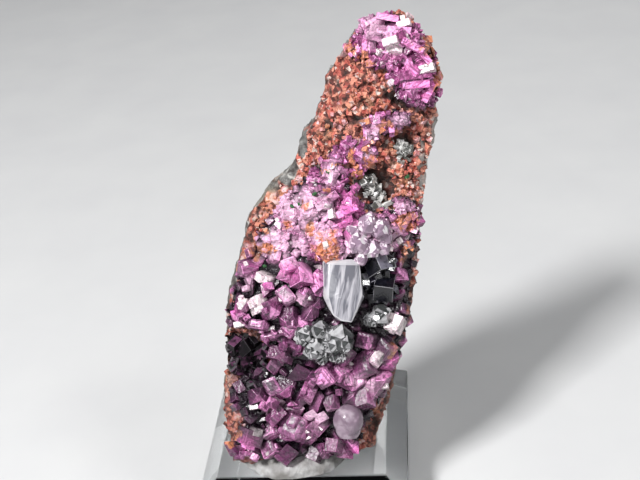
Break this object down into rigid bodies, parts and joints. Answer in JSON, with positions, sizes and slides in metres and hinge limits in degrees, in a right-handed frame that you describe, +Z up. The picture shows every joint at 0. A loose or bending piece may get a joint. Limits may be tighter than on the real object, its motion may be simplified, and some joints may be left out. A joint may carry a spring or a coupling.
{
  "type": "cobaltoan calcite specimen on a stand",
  "caption": "Leaning slab of brown limestone crusted with pink rhombic calcite and a few clear crystals, set in tack on a square bevelled clear block.",
  "frame": {"origin": "middle of the block's underside, which rests on the shelf", "axes": "+Z up, +X to the viewer's right along the block's front edge, +Y away from the viewer, square to the block"},
  "size_m": [0.0367, 0.03, 0.0717],
  "materials": {
    "acrylic": "clear polished cast acrylic",
    "tack": "white putty, matt, pressed by hand",
    "limestone": "granular orange brown weathered rock",
    "pink_calcite": "glossy translucent pink crystal faces",
    "clear_calcite": "clear to milky crystal",
    "grey_calcite": "pale grey translucent crystal",
    "dark_calcite": "dark smoky glossy crystal"
  },
  "bodies": {
    "root": {"acrylic_block": "acrylic", "mineral_tack": "tack", "limestone_slab": "limestone", "pink_crust_main": "pink_calcite", "pink_crust_tip": "pink_calcite", "pink_patch_upper": "pink_calcite", "pink_patch_centre": "pink_calcite", "pink_patch_left": "pink_calcite", "large_clear_crystal": "clear_calcite", "lower_clear_cluster": "clear_calcite", "right_clear_cluster": "clear_calcite", "round_clear_crystal": "clear_calcite", "upper_pale_crystals": "grey_calcite", "grey_hollow_crystals": "grey_calcite", "grey_rim_crystals": "grey_calcite", "dark_crystals_right": "dark_calcite", "dark_crystals_left": "dark_calcite"}
  },
  "joints": []
}
